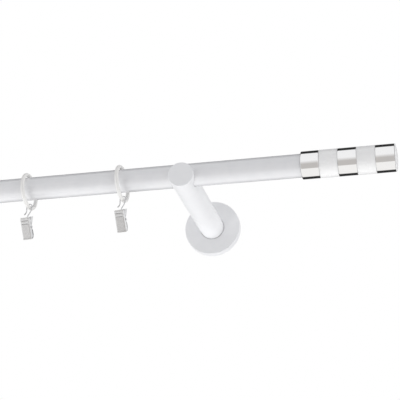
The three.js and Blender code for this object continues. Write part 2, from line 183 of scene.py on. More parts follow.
class Look:
    """A procedural material: its node tree, and short ways to add patterns to it."""

    def __init__(self, name, colour, roughness, metallic=0.0, coat=0.0):
        self.material = bpy.data.materials.new(name)
        self.material.use_nodes = True
        self.tree = self.material.node_tree
        self.shader = self.tree.nodes["Principled BSDF"]
        self.shader.inputs["Base Color"].default_value = (*colour, 1)
        self.shader.inputs["Roughness"].default_value = roughness
        self.shader.inputs["Metallic"].default_value = metallic
        self.shader.inputs["Coat Weight"].default_value = coat
        self.shader.inputs["Coat Roughness"].default_value = 0.12
        self.place = self.tree.nodes.new("ShaderNodeTexCoord").outputs["Object"]
        self.relief = None

    def node(self, kind, **inputs):
        made = self.tree.nodes.new("ShaderNode" + kind)
        for name, value in inputs.items():
            socket = made.inputs[name.replace("_", " ")]
            if isinstance(value, bpy.types.NodeSocket):
                self.tree.links.new(value, socket)
            else:
                socket.default_value = value
        return made

    def noise(self, size, detail=3.0, stretch=(1, 1, 1)):
        """Noise whose features are about size millimetres, finer along the axes with a larger stretch."""
        scale = 1 / (size * MM)
        moved = self.node("Mapping", Vector=self.place, Scale=[scale * s for s in stretch])
        made = self.node("TexNoise", Vector=moved.outputs["Vector"], Scale=1.0, Detail=detail)
        return made.outputs["Fac"]

    def cells(self, size):
        moved = self.node("Mapping", Vector=self.place, Scale=[1 / (size * MM)] * 3)
        return self.node("TexVoronoi", Vector=moved.outputs["Vector"], Scale=1.0).outputs["Color"]

    def spread(self, pattern, low, high, start=0.3, end=0.7):
        return self.node(
            "MapRange", Value=pattern, From_Min=start, From_Max=end, To_Min=low, To_Max=high
        ).outputs["Result"]

    def colour(self, pattern, low, high):
        """Base colour from low to high over a pattern."""
        result = mix_colours(self.tree, self.spread(pattern, 0, 1), low, high)
        self.tree.links.new(result, self.shader.inputs["Base Color"])
        return result

    def painted_crevice_shade(self, unshaded, reach, dark):
        """Base colour with painted shade: it falls to dark in grooves and gaps narrower than about reach
        millimetres, from an ambient occlusion mask.
        """
        hollow = self.node("AmbientOcclusion", Color=unshaded, Distance=reach * MM)
        hollow.samples = 8
        share = self.spread(hollow.outputs["AO"], 0, 1, 0.25, 0.85)
        self.tree.links.new(mix_colours(self.tree, share, dark, unshaded), self.shader.inputs["Base Color"])

    def roughness(self, pattern, low, high):
        self.tree.links.new(self.spread(pattern, low, high), self.shader.inputs["Roughness"])

    def bump(self, pattern, height):
        """Adds a relief of so many millimetres on top of any that is there."""
        made = self.node("Bump", Height=pattern, Distance=height * MM, Strength=1.0)
        if self.relief:
            self.tree.links.new(self.relief, made.inputs["Normal"])
        self.relief = made.outputs["Normal"]
        self.tree.links.new(self.relief, self.shader.inputs["Normal"])
        return self


def powder_coat():
    look = Look("powder_coat_white", (0.78, 0.783, 0.8), 0.42, coat=1.0)
    look.shader.inputs["Coat Roughness"].default_value = 0.1
    look.shader.inputs["Coat IOR"].default_value = 1.6
    look.colour(look.noise(9), (0.768, 0.771, 0.789), (0.8, 0.802, 0.816))
    look.roughness(look.noise(2.5), 0.36, 0.48)
    look.bump(look.noise(0.9, 2), 0.012)
    return look.bump(look.noise(0.25, 2), 0.003)


def bracket_coat():
    look = Look("bracket_coat_white", (0.87, 0.87, 0.875), 0.45, coat=0.1)
    look.colour(look.noise(9), (0.854, 0.859, 0.874), (0.876, 0.88, 0.892))
    look.roughness(look.noise(2.5), 0.4, 0.52)
    look.bump(look.noise(0.9, 2), 0.012)
    return look.bump(look.noise(0.25, 2), 0.003)


def finial_lacquer():
    look = Look("finial_lacquer_white", (0.97, 0.97, 0.97), 0.25, coat=0.3)
    look.shader.inputs["Sheen Weight"].default_value = 0.3
    look.shader.inputs["Sheen Roughness"].default_value = 0.6
    look.shader.inputs["Subsurface Weight"].default_value = 0.4
    look.shader.inputs["Subsurface Radius"].default_value = (1, 1, 1)
    look.shader.inputs["Subsurface Scale"].default_value = 0.004
    look.colour(look.noise(14), (0.965, 0.965, 0.963), (0.98, 0.978, 0.974))
    look.roughness(look.noise(4), 0.2, 0.3)
    return look.bump(look.noise(1.6, 2), 0.008)


def ring_plastic():
    look = Look("ring_plastic_white", (0.86, 0.855, 0.84), 0.34)
    look.colour(look.noise(6, stretch=(1, 2, 2)), (0.85, 0.84, 0.82), (0.875, 0.87, 0.856))
    look.roughness(look.noise(1.8), 0.28, 0.42)
    look.bump(look.noise(1.2, 2), 0.01)
    return look.bump(look.noise(0.3, 2), 0.002)


def core_plastic():
    look = Look("core_plastic", (0.7, 0.69, 0.66), 0.5)
    look.colour(look.noise(8), (0.66, 0.65, 0.62), (0.72, 0.71, 0.68))
    look.roughness(look.noise(2), 0.45, 0.6)
    return look.bump(look.noise(0.6, 3), 0.02)


def chrome():
    look = Look("polished_chrome", (0.93, 0.93, 0.93), 0.04, metallic=1.0)
    look.colour(look.noise(20), (0.915, 0.916, 0.92), (0.945, 0.943, 0.94))
    look.roughness(look.noise(3, stretch=(6, 1, 1)), 0.025, 0.07)
    return look.bump(look.noise(6, 2, stretch=(8, 1, 1)), 0.0015)


def satin_zinc():
    look = Look("satin_zinc", (0.7, 0.7, 0.7), 0.26, metallic=1.0)
    unshaded = look.colour(look.noise(2.2), (0.71, 0.71, 0.715), (0.8, 0.8, 0.8))
    # painted shade: the zinc colour falls to near black in grooves and gaps within about 2 mm
    look.painted_crevice_shade(unshaded, 2, (0.1, 0.1, 0.1))
    look.roughness(look.noise(0.8, 4, stretch=(4, 4, 0.4)), 0.2, 0.32)
    look.bump(look.noise(0.4, 3, stretch=(3, 3, 0.15)), 0.006)
    return look.bump(look.noise(1.5, 2), 0.01)


def drawn_wire():
    look = Look("drawn_steel_wire", (0.62, 0.62, 0.63), 0.26, metallic=1.0)
    look.colour(look.noise(1.5), (0.56, 0.56, 0.57), (0.68, 0.68, 0.69))
    look.roughness(look.noise(0.5, stretch=(4, 4, 0.5)), 0.2, 0.34)
    return look.bump(look.noise(0.25, 3, stretch=(4, 4, 0.3)), 0.004)


def plated_steel():
    look = Look("plated_steel", (0.6, 0.6, 0.61), 0.35, metallic=1.0)
    look.colour(look.cells(4), (0.55, 0.56, 0.58), (0.66, 0.655, 0.64))
    look.roughness(look.noise(3), 0.28, 0.45)
    look.bump(look.noise(1.1, 3), 0.012)
    return look.bump(look.noise(0.4, 2, stretch=(5, 0.5, 0.5)), 0.004)


LOOKS = {
    "white_paint": powder_coat(),
    "white_paint/bracket": bracket_coat(),
    "finial_white": finial_lacquer(),
    "core_plastic": core_plastic(),
    "ring_plastic": ring_plastic(),
    "chrome": chrome(),
    "clip_metal": satin_zinc(),
    "steel_wire": drawn_wire(),
    "plated_steel": plated_steel(),
}


# ---------- mesh code ----------
def rounded(outline, radius, steps=4, closed=False):
    """The outline with each corner replaced by a small curve, no longer than the sides next to it allow."""
    points = [Vector(p) for p in outline]
    made = []
    for i, corner in enumerate(points):
        if not closed and i in (0, len(points) - 1):
            made.append(corner)
            continue
        back = points[i - 1] - corner
        ahead = points[(i + 1) % len(points)] - corner
        reach = min(radius, back.length * 0.45, ahead.length * 0.45)
        start = corner + back.normalized() * reach
        end = corner + ahead.normalized() * reach
        for k in range(steps + 1):
            t = k / steps
            made.append(start * (1 - t) ** 2 + corner * 2 * t * (1 - t) + end * t * t)
    return made


def grid_mesh(rows, closed_rows=False, closed_columns=False):
    """A bmesh of quads over rows of points, welded where points meet."""
    bm = bmesh.new()
    verts = [[bm.verts.new(p) for p in row] for row in rows]
    row_count, column_count = len(verts), len(verts[0])
    for i in range(row_count if closed_rows else row_count - 1):
        for j in range(column_count if closed_columns else column_count - 1):
            a, b = verts[i], verts[(i + 1) % row_count]
            k = (j + 1) % column_count
            bm.faces.new((a[j], a[k], b[k], b[j]))
    bmesh.ops.remove_doubles(bm, verts=bm.verts, dist=1e-4)
    bmesh.ops.dissolve_degenerate(bm, dist=1e-5, edges=bm.edges)
    return bm


def add_bmesh(target, source):
    """Puts a copy of source's faces into target and frees source."""
    held = bpy.data.meshes.new("held")
    source.to_mesh(held)
    target.from_mesh(held)
    bpy.data.meshes.remove(held)
    source.free()


def lathe(outline, segments=96, closed=False):
    """The outline's [radius, y] pairs, in millimetres, turned about the Y axis."""
    points = list(outline) + ([outline[0]] if closed else [])
    rows = []
    for k in range(segments):
        a = 2 * math.pi * k / segments
        rows.append([Vector((r * math.cos(a), y, r * math.sin(a))) for r, y in points])
    return grid_mesh(rows, closed_rows=True)


def smooth_line(points, steps):
    """A centripetal Catmull-Rom curve through points, sampled steps times between each two."""
    ends = [points[0] * 2 - points[1], *points, points[-1] * 2 - points[-2]]
    made = []
    for i in range(1, len(ends) - 2):
        p = ends[i - 1 : i + 3]
        t = [0.0]
        for a, b in zip(p, p[1:]):
            t.append(t[-1] + max((b - a).length, 1e-9) ** 0.5)
        for k in range(steps):
            u = t[1] + (t[2] - t[1]) * k / steps
            a = [p[j] * ((t[j + 1] - u) / (t[j + 1] - t[j])) + p[j + 1] * ((u - t[j]) / (t[j + 1] - t[j]))
                 for j in range(3)]
            b = [a[j] * ((t[j + 2] - u) / (t[j + 2] - t[j])) + a[j + 1] * ((u - t[j]) / (t[j + 2] - t[j]))
                 for j in range(2)]
            made.append(b[0] * ((t[2] - u) / (t[2] - t[1])) + b[1] * ((u - t[1]) / (t[2] - t[1])))
    return [*made, points[-1]]


def wire(points, radius, sides=14, steps=8):
    """Round wire along a smooth line, with domed ends."""
    line = smooth_line(points, steps)
    rows = []
    normal = None
    for i, centre in enumerate(line):
        along = (line[min(i + 1, len(line) - 1)] - line[max(i - 1, 0)]).normalized()
        if normal is None:
            normal = along.orthogonal().normalized()
        normal = (normal - along * normal.dot(along)).normalized()
        across = along.cross(normal)
        ring = [normal * math.cos(a) + across * math.sin(a)
                for a in (2 * math.pi * k / sides for k in range(sides))]
        shares = [0.0] if 0 < i < len(line) - 1 else [0.0, 0.4, 0.75, 0.95, 1.0]
        outward = -1 if i == 0 else 1
        domed = [[centre + along * (outward * radius * s) + d * (radius * math.sqrt(1 - s * s)) for d in ring]
                 for s in shares]
        rows += reversed(domed) if i == 0 else domed
    return grid_mesh(rows, closed_columns=True)


def bent_strip(line, thickness, width, edge=0.15):
    """A bent strip of sheet metal with broken edges: its middle line is [y, z] pairs."""
    points = rounded(line, 1.2, 5)
    x, y = width / 2, thickness / 2
    section = rounded([(-x, -y), (x, -y), (x, y), (-x, y)], edge, 3, closed=True)
    rows = []
    for i, point in enumerate(points):
        along = (points[min(i + 1, len(points) - 1)] - points[max(i - 1, 0)]).normalized()
        across = Vector((-along.y, along.x))
        rows.append([Vector((x, *(point + across * t))) for x, t in section])
    for i in (0, -1):
        middle = [sum((p for p in rows[i]), Vector()) / len(rows[i])] * len(rows[i])
        rows = [middle, *rows] if i == 0 else [*rows, middle]
    return grid_mesh(rows, closed_columns=True)


def block(outline, thickness, middle=0.0, edge=0.12):
    """A flat [y, z] outline thickened along X about x = middle, with broken edges."""
    corners = [Vector(p) for p in outline]
    centre = sum(corners, Vector((0, 0))) / len(corners)
    rows = []
    for x, inset in ((-0.5, 1), (-0.5 + edge / thickness, 0), (0.5 - edge / thickness, 0), (0.5, 1)):
        pulled = [p + (centre - p).normalized() * inset * edge for p in corners]
        rows.append([Vector((middle + x * thickness, *p)) for p in pulled])
    bm = grid_mesh(rows, closed_columns=True)
    bmesh.ops.holes_fill(bm, edges=[e for e in bm.edges if e.is_boundary], sides=0)
    return bm


def rod_tool(radius, start, end, segments=32):
    """A plain round or many-sided cutter between two points."""
    bm = bmesh.new()
    start, end = Vector(start), Vector(end)
    turn = (end - start).to_track_quat("Z", "Y").to_matrix().to_4x4()
    place = Matrix.Translation((start + end) / 2) @ turn
    bmesh.ops.create_cone(
        bm, cap_ends=True, segments=segments, radius1=radius, radius2=radius,
        depth=(end - start).length, matrix=place)
    return bm


def cut_bmesh(bm, cutters=(), bevel=0.0):
    """bm less its cutters, with its sharp edges bevelled; all are closed, and the cutters are used up."""
    def held(source, name):
        bmesh.ops.recalc_face_normals(source, faces=source.faces)
        mesh = bpy.data.meshes.new(name)
        source.to_mesh(mesh)
        source.free()
        made = bpy.data.objects.new(name, mesh)
        bpy.context.scene.collection.objects.link(made)
        return made

    blank = held(bm, "blank")
    tools = [held(cutter, "tool") for cutter in cutters]
    for tool in tools:
        modifier = blank.modifiers.new("cut", "BOOLEAN")
        modifier.operation, modifier.solver, modifier.object = "DIFFERENCE", "EXACT", tool
    if bevel:
        modifier = blank.modifiers.new("edge", "BEVEL")
        modifier.width, modifier.segments = bevel, 3
        modifier.limit_method, modifier.angle_limit = "ANGLE", math.radians(35)
    graph = bpy.context.evaluated_depsgraph_get()
    made = bpy.data.meshes.new_from_object(blank.evaluated_get(graph), depsgraph=graph)
    result = bmesh.new()
    result.from_mesh(made)
    bpy.data.meshes.remove(made)
    for used in (blank, *tools):
        mesh = used.data
        bpy.data.objects.remove(used)
        bpy.data.meshes.remove(mesh)
    return result


def finished(name, bm, slot, body, place=None, sharp=38.0, twist=None):
    """Turns a millimetre bmesh into a smooth piece in its material, on its body, in its CAD node's place.

    A piece that spans two bodies names both, but when twist is given it is attached to neither: its place is
    baked into its mesh, and the points in twist are not used.
    """
    bmesh.ops.recalc_face_normals(bm, faces=bm.faces)
    mesh = bpy.data.meshes.new(name)
    bm.to_mesh(mesh)
    bm.free()
    piece = bpy.data.objects.new(name, mesh)
    bpy.context.scene.collection.objects.link(piece)
    mesh.transform(Matrix.Scale(MM, 4) @ (place or Matrix.Identity(4)))
    mesh.shade_smooth()
    mesh.set_sharp_from_angle(angle=math.radians(sharp))
    weighted = piece.modifiers.new("normals", "WEIGHTED_NORMAL")
    weighted.keep_sharp = True
    weighted.weight = 60
    mesh.materials.append(LOOKS[slot].material)
    if twist:
        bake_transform(piece)
    else:
        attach(piece, body)
    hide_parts(name.removesuffix("_look"))


def middle_of(node):
    low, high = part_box(node)
    return (low + high) / 2 / MM


# ---------- brackets ----------
def wall_plate(side, place):
    outline = rounded([
        (0, -STUD_FLOOR), (STUD_RADIUS + GAP, -STUD_FLOOR), (STUD_RADIUS + GAP, -BOSS_HEIGHT),
        (BOSS_RADIUS, -BOSS_HEIGHT), (BOSS_RADIUS, -PLATE_THICKNESS), (PLATE_RADIUS, -PLATE_THICKNESS),
        (PLATE_RADIUS, 0), (0, 0),
    ], PLATE_EDGE)
    cutters = []
    for x in (-PLATE_SCREW_OFFSET, PLATE_SCREW_OFFSET):
        hole = lathe([
            (0, -PLATE_THICKNESS - 1), (PLATE_COUNTERSINK_RADIUS + 1, -PLATE_THICKNESS - 1),
            (PLATE_SCREW_RADIUS, -PLATE_THICKNESS + PLATE_COUNTERSINK_DEPTH), (PLATE_SCREW_RADIUS, 1), (0, 1),
        ], 48)
        bmesh.ops.translate(hole, verts=hole.verts, vec=(x, 0, 0))
        cutters.append(hole)
    finished(f"wall_plate_{side}_look", cut_bmesh(lathe(outline), cutters), "plated_steel", "brackets", place)


def stud(side, place):
    """A headless screw: its thread is a groove that winds round it."""
    near = -STUD_FLOOR - GAP
    far = near - STUD_LENGTH
    steps = round(STUD_LENGTH / THREAD_PITCH * THREAD_STEPS)
    rows = []
    for i in range(steps + 1):
        y = near - STUD_LENGTH * i / steps
        lead = min(1.0, (near - y) / THREAD_LEAD, (y - near + STUD_LENGTH) / THREAD_LEAD)
        row = []
        for k in range(THREAD_SIDES):
            turn = k / THREAD_SIDES
            a = 2 * math.pi * turn
            wave = abs(((-y / THREAD_PITCH + turn) % 1) * 2 - 1)
            groove = THREAD_DEPTH * lead * max(0, wave - THREAD_CREST)
            radius = STUD_RADIUS - THREAD_CHAMFER * (1 - lead) - groove
            row.append(Vector((radius * math.cos(a), y, radius * math.sin(a))))
        rows.append(row)
    rows = [[Vector((0, near, 0))] * THREAD_SIDES, *rows, [Vector((0, far, 0))] * THREAD_SIDES]
    screw = grid_mesh(rows, closed_columns=True)
    finished(f"arm_stud_{side}_look", screw, "plated_steel", "brackets", place)


def arm(side, place, rod_y, rod_z):
    low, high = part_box(f"arm_{side}")
    front, back = low.y / MM, high.y / MM
    bore = -STUD_FLOOR - STUD_LENGTH - ARM_BORE_SPARE
    outline = rounded([
        (0, front), (ARM_RADIUS, front), (ARM_RADIUS, back), (STUD_RADIUS + GAP, back),
        (STUD_RADIUS + GAP, bore), (0, bore),
    ], ARM_ROUNDING, 6)
    seat = ROD_RADIUS + GAP
    notch = [(rod_y - seat, 2 * ARM_RADIUS), (rod_y + seat, 2 * ARM_RADIUS)]
    notch += [(rod_y + seat * math.cos(a), rod_z - seat * math.sin(a))
              for a in (math.pi * k / NOTCH_STEPS for k in range(NOTCH_STEPS + 1))]
    cutter = bmesh.new()
    ends = []
    for x in (-ARM_RADIUS - 2, ARM_RADIUS + 2):
        ends.append([cutter.verts.new((x, y, z)) for y, z in notch])
        cutter.faces.new(ends[-1])
    for j in range(len(notch)):
        k = (j + 1) % len(notch)
        cutter.faces.new((ends[0][j], ends[0][k], ends[1][k], ends[1][j]))
    notched = cut_bmesh(lathe(outline, 128), [cutter], NOTCH_EDGE)
    finished(f"arm_{side}_look", notched, "white_paint/bracket", "brackets", place)


def rosette(side, place):
    body = f"rosette_cover_{side}"
    inside = ROSETTE_RADIUS - ROSETTE_SKIN
    under = ROSETTE_SKIN - ROSETTE_DEPTH
    outline = rounded([
        (ARM_RADIUS + GAP, -ROSETTE_DEPTH), (ROSETTE_RADIUS, -ROSETTE_DEPTH), (ROSETTE_RADIUS, 0),
        (inside, 0), (inside, under), (ARM_RADIUS + GAP, under),
    ], ROSETTE_EDGE, 5, closed=True)
    hole = rod_tool(ROSETTE_SCREW_RADIUS + GAP, (0, ROSETTE_SCREW_Y, PLATE_RADIUS),
                    (0, ROSETTE_SCREW_Y, ROSETTE_RADIUS + 2))
    cover = cut_bmesh(lathe(outline, 144, closed=True), [hole])
    finished(f"rosette_{side}_look", cover, "white_paint/bracket", body, place)
    top = ROSETTE_RADIUS - 0.4
    foot = PLATE_RADIUS + GAP
    turn = Matrix.Translation((0, ROSETTE_SCREW_Y, 0)) @ Matrix.Rotation(math.pi / 2, 4, "X")
    outline = rounded([(0, foot), (ROSETTE_SCREW_RADIUS, foot), (ROSETTE_SCREW_RADIUS, top), (0, top)], 0.25)
    socket = rod_tool(SOCKET_RADIUS, (0, top - SOCKET_DEPTH, 0), (0, top + 1, 0), segments=6)
    screw = cut_bmesh(lathe(outline, 32), [socket])
    finished(f"rosette_screw_{side}_look", screw, "plated_steel", body, place @ turn)


def bracket(side, rod_y, rod_z):
    place = Matrix.Translation((middle_of(f"wall_plate_{side}").x, 0, 0))
    wall_plate(side, place)
    stud(side, place)
    arm(side, place, rod_y, rod_z)
    rosette(side, place)


# ---------- rod and finials ----------
def rod(low, high, centre):
    inside = ROD_RADIUS - ROD_WALL
    corners = [(inside, low), (ROD_RADIUS, low), (ROD_RADIUS, high), (inside, high)]
    outline = rounded(corners, 0.4, closed=True)
    turn = Matrix.Translation((0, centre.y, centre.z)) @ Matrix.Rotation(-math.pi / 2, 4, "Z")
    finished("rod_tube_look", lathe(outline, 128, closed=True), "white_paint", "rod", turn)


def finial_core(side, place):
    spigot = ROD_RADIUS - ROD_WALL - GAP
    shoulder = FINIAL_FERRULE_WALL + 2 * GAP
    end = FINIAL_LENGTH - FINIAL_CAP - GAP
    socket = CAP_PLUG_RADIUS + GAP
    ribs = []
    for k in range(SPIGOT_RIBS):
        y = -FINIAL_SPIGOT + SPIGOT_RIB_PITCH * (k + 1)
        low = spigot - SPIGOT_RIB_DEPTH
        ribs += [(spigot, y), (low, y + SPIGOT_RIB_DEPTH), (low, y + 1.8), (spigot, y + 2.5)]
    outline = rounded([
        (0, -FINIAL_SPIGOT), (spigot - 1, -FINIAL_SPIGOT), (spigot, -FINIAL_SPIGOT + 1.5), *ribs,
        (spigot, shoulder), (FINIAL_CORE_RADIUS, shoulder), (FINIAL_CORE_RADIUS, end), (socket, end),
        (socket, end - CAP_PLUG_LENGTH - GAP), (0, end - CAP_PLUG_LENGTH - GAP),
    ], 0.4)
    finished(f"finial_core_{side}_look", lathe(outline), "core_plastic", f"finial_{side}", place)


def finial_band(side, index, place):
    first = index == 0
    pitch = (FINIAL_LENGTH - FINIAL_CAP) / FINIAL_BANDS
    start = GAP if first else index * pitch
    end = (index + 1) * pitch - (0 if index == FINIAL_BANDS - 1 else BAND_JOINT)
    bore = FINIAL_CORE_RADIUS + GAP
    bright = index % 2 == 0
    outline = [(FINIAL_RADIUS, end), (bore, end)]
    if first:
        collar = ROD_RADIUS - ROD_WALL
        step = start + FINIAL_FERRULE_WALL
        outline += [(bore, step), (collar, step), (collar, start)]
    else:
        outline += [(bore, start)]
    outline += [(FINIAL_RADIUS, start)]
    outline = rounded(outline, 0.9 if first else 0.22, 5, closed=True)
    tint, slot = ("chrome", "chrome") if bright else ("white", "finial_white")
    name = f"finial_{tint}_band_{index + 1}_{side}_look"
    finished(name, lathe(outline, 128, closed=True), slot, f"finial_{side}", place)


def finial_cap(side, place):
    near = FINIAL_LENGTH - FINIAL_CAP + BAND_JOINT
    crown = []
    for k in range(1, CROWN_STEPS + 1):
        r = FINIAL_RADIUS * (1 - k / CROWN_STEPS)
        crown.append((r, FINIAL_LENGTH + FINIAL_CROWN * (1 - (r / FINIAL_RADIUS) ** 2)))
    outline = [
        (0, near - CAP_PLUG_LENGTH), (CAP_PLUG_RADIUS, near - CAP_PLUG_LENGTH), (CAP_PLUG_RADIUS, near),
        (FINIAL_RADIUS, near), (FINIAL_RADIUS, FINIAL_LENGTH),
    ]
    outline = rounded([*outline, crown[0]], 0.3)[:-1] + [Vector(p) for p in crown]
    finished(f"finial_end_cap_{side}_look", lathe(outline, 128), "finial_white", f"finial_{side}", place)


def finial(side, end_x, centre):
    turn = -math.pi / 2 if side == "right" else math.pi / 2
    place = Matrix.Translation((end_x, centre.y, centre.z)) @ Matrix.Rotation(turn, 4, "Z")
    finial_core(side, place)
    for index in range(FINIAL_BANDS):
        finial_band(side, index, place)
    finial_cap(side, place)


# ---------- rings, hooks and clips ----------
def ring(index):
    centre = middle_of(f"ring_{index}")
    low = Vector(joints[f"hook_swing_{index}"]["pos_m"]) / MM
    down = (low - centre).normalized()
    lean = math.atan2(down.x, -down.z)
    section = 20
    rows = []
    for i in range(96):
        a = 2 * math.pi * i / 96
        out = Vector((0, math.cos(a), math.sin(a)))
        row = []
        for k in range(section):
            b = 2 * math.pi * k / section
            aside = Vector((RING_SECTION * math.sin(b), 0, 0))
            row.append(out * (RING_RADIUS + RING_SECTION * math.cos(b)) + aside)
        rows.append(row)
    bm = grid_mesh(rows, closed_rows=True, closed_columns=True)
    place = Matrix.Translation(centre) @ Matrix.Rotation(-lean, 4, "Y") @ Matrix.Rotation(RING_TURN, 4, "Z")
    finished(f"ring_{index}_look", bm, "ring_plastic", f"curtain_ring_{index}", place)


def arc(centre, radius, across, start, end, count):
    """Points on an arc that stands on Z, from start to end degrees above the direction across."""
    made = []
    for i in range(count):
        a = math.radians(start + (end - start) * i / (count - 1))
        made.append(centre + across * (radius * math.cos(a)) + Vector((0, 0, radius * math.sin(a))))
    return made


def hook(index, place):
    free_end = [Vector((x, 0, z)) for x, z in HOOK_FREE_END]
    bend = arc(Vector((0.2, 0, 0.3)), HOOK_BEND, Vector((1, 0, 0)), 180, 0, 9)
    leg = [Vector(point) for point in HOOK_LEG]
    eye = arc(Vector((EYE_OFFSET, 0, EYE_BEND - HOOK_DROP)), EYE_BEND, Vector((0, -1, 0)), 35, -205, 10)
    finished(f"hook_{index}_look", wire([*free_end, *bend, *leg, *eye], WIRE_RADIUS), "steel_wire",
             f"ring_hook_{index}", place)


def bell(offset, spread, power=2):
    return math.exp(-((offset / spread) ** power))


def ear_depth(z):
    """How far the front jaw's folded sides reach back at a height."""
    down = min(1.0, -z / (-PIVOT[1] - 2))
    side = EAR_TOP_DEPTH + (EAR_DEPTH - EAR_TOP_DEPTH) * down
    top = min(1.0, (-0.3 - z) / 0.9)
    foot = min(1.0, (z + CLIP_HEIGHT - 0.5) / 2.2)
    lug = EAR_LUG_DEPTH * bell(z - PIVOT[1], EAR_LUG_SPREAD, 4)
    return max(EAR_LEAST_DEPTH, (side + lug) * max(0.0, min(top, foot)))


def clip_front():
    """One pressing: a plate with two ridges, each over a groove, folded sides, and a lip at the foot."""
    half = CLIP_WIDTH / 2
    bend = EAR_BEND
    heights = [-0.05 - FRONT_ROW * k for k in range(int((CLIP_HEIGHT - 0.5) / FRONT_ROW))]
    heights.append(-CLIP_HEIGHT + 0.02)
    rows = []
    for z in heights:
        depth = ear_depth(z)
        round_top = max(0.0, 1 - (-z) / 1.2)
        h = half - 0.9 * round_top ** 2
        proud = sum(RIDGE_HEIGHT * bell(z + r - RIDGE_RISE, RIDGE_SPREAD)
                    - GROOVE_DEPTH * bell(z + r + GROOVE_DROP, GROOVE_SPREAD) for r in FRONT_RIDGES)
        path = [(-h, depth), (-h, bend + (depth - bend) * 0.5), (-h, min(bend, depth))]
        for k in range(1, 7):
            a = math.pi / 2 * k / 6
            path.append((-h + bend * (1 - math.cos(a)), bend * (1 - math.sin(a))))
        edge = path[:]
        path += [(-h + bend + (2 * h - 2 * bend) * k / 16, 0.0) for k in range(1, 16)]
        path += [(-x, y) for x, y in reversed(edge)]
        outer, inner = [], []
        for j, (x, y) in enumerate(path):
            before, after = Vector(path[max(j - 1, 0)]), Vector(path[min(j + 1, len(path) - 1)])
            along = (after - before).normalized() if (after - before).length > 1e-9 else Vector((1, 0))
            inward = Vector((-along.y, along.x))
            lift = proud * max(0.0, min(1.0, (h - abs(x) - 0.4) / 0.8))
            outer.append(Vector((x, y - lift, z)))
            inner.append(Vector((x + inward.x * EAR, y + inward.y * EAR - lift, z)))
        rows.append(outer + inner[::-1])
    for i in (0, -1):
        middle = rows[i]
        pairs = [(middle[j] + middle[-1 - j]) / 2 for j in range(len(middle))]
        rows = [pairs, *rows] if i == 0 else [*rows, pairs]
    bm = grid_mesh(rows, closed_columns=True)
    foot = SHEET / 2 - CLIP_HEIGHT
    lip = bent_strip([(SHEET / 2, foot + 1.3), (SHEET / 2, foot), (LIP_DEPTH, foot)], SHEET, CLIP_WIDTH - 0.3)
    add_bmesh(bm, lip)
    return bm


def clip_rear():
    """The rear jaw's strip with its hole, two lugs for the pin and two ridges across its handle."""
    width = CLIP_WIDTH - 2 * EAR - 2 * GAP
    spine = HANDLE_FOOT.x
    foot = 0.7 - CLIP_HEIGHT
    back, down = PIVOT
    belly = spine + 1.2
    line = [HANDLE_TOP, HANDLE_FOOT, (spine, down - 1.4), (belly, down - 3.8), (belly, foot + 4),
            (spine + 0.2, foot + 1.2), (spine - 0.6, foot + 0.1), (LIP_DEPTH + 0.8, foot)]
    across = Vector((0, HANDLE_SLOPE.y, -HANDLE_SLOPE.x))
    spot = Vector((0, *CLIP_HOLE))
    hole = rod_tool(CLIP_HOLE_RADIUS, spot - across * 3, spot + across * 3)
    bm = cut_bmesh(bent_strip(line, SHEET, width), [hole])
    reach = LUG_REACH
    lug = [(spine, HANDLE_FOOT.y + 0.4), (back, down + reach)]
    lug += [(back + reach * math.cos(a), down + reach * math.sin(a)) for a in
            (math.pi / 2 + math.pi * k / 10 for k in range(1, 10))]
    lug += [(back, down - reach), (spine, down - reach - 0.2)]
    for side in (-1, 1):
        add_bmesh(bm, block(lug, EAR, side * (width - EAR) / 2))
    outward = Vector((-HANDLE_SLOPE.y, HANDLE_SLOPE.x))
    for along in REAR_RIDGES:
        middle = HANDLE_TOP + HANDLE_SLOPE * along + outward * (SHEET / 2 - 0.15)
        add_bmesh(bm, wire([Vector((x, *middle)) for x in (-width / 2 + 1, width / 2 - 1)], 0.6, 12, 4))
    return bm


def clip_pin():
    reach = CLIP_WIDTH / 2 + 0.25
    dome = [(PIN_HEAD_RADIUS * math.cos(a), reach + PIN_HEAD * math.sin(a))
            for a in (math.pi / 2 * k / 5 for k in range(5))]
    half = [(PIN_RADIUS, 0), (PIN_RADIUS, reach), *dome, (0, reach + PIN_HEAD)]
    outline = [(r, -y) for r, y in reversed(half)][:-1] + half[1:]
    return lathe(outline, 28)


def clip_spring():
    back, down = PIVOT
    left, right = SPRING_SIDES
    coil = []
    for i in range(SPRING_STEPS + 1):
        share = i / SPRING_STEPS
        a = math.pi - 2 * math.pi * SPRING_TURNS * share
        coil.append(Vector((left + (right - left) * share, back + SPRING_RADIUS * math.cos(a),
                            down + SPRING_RADIUS * math.sin(a))))
    front = [Vector((left, 1.35, -5.2)), Vector((left, 1.4, -8.4))]
    rear = [Vector((right, 4.6, -8.9)), Vector((right, 6, -6.3))]
    return wire([*front, *coil, *rear], SPRING_WIRE, 10, 4)


def ring_set(index):
    ring(index)
    hook_joint = joints[f"hook_swing_{index}"]
    clip_joint = joints[f"clip_swing_{index}"]
    section = Vector(hook_joint["pos_m"]) / MM
    eye = Vector(clip_joint["pos_m"]) / MM
    axis = Vector(clip_joint["axis"])
    yaw = Matrix.Rotation(math.atan2(axis.y, axis.x), 4, "Z")
    hook(index, Matrix.Translation(section) @ yaw)
    tilt = Matrix.Rotation(CLIP_PITCH, 4, "X") @ Matrix.Rotation(CLIP_ROLL, 4, "Y")
    place = Matrix.Translation(eye) @ yaw @ tilt @ Matrix.Translation((0, *(-CLIP_HOLE)))
    clip = f"clip_{index}"
    finished(f"clip_rear_jaw_{index}_look", clip_rear(), "clip_metal", clip, place, sharp=50)
    front = f"clip_front_{index}"
    finished(f"clip_front_jaw_{index}_look", clip_front(), "clip_metal", front, place, sharp=50)
    turn = Matrix.Translation((0, *PIVOT)) @ Matrix.Rotation(-math.pi / 2, 4, "Z")
    finished(f"clip_pin_{index}_look", clip_pin(), "steel_wire", clip, place @ turn)
    coil = [(x, *PIVOT) for x in (SPRING_SIDES[1] - SPRING_WIRE, SPRING_SIDES[0] + SPRING_WIRE)]
    finished(f"clip_spring_{index}_look", clip_spring(), "steel_wire", (clip, front), place, twist=coil)


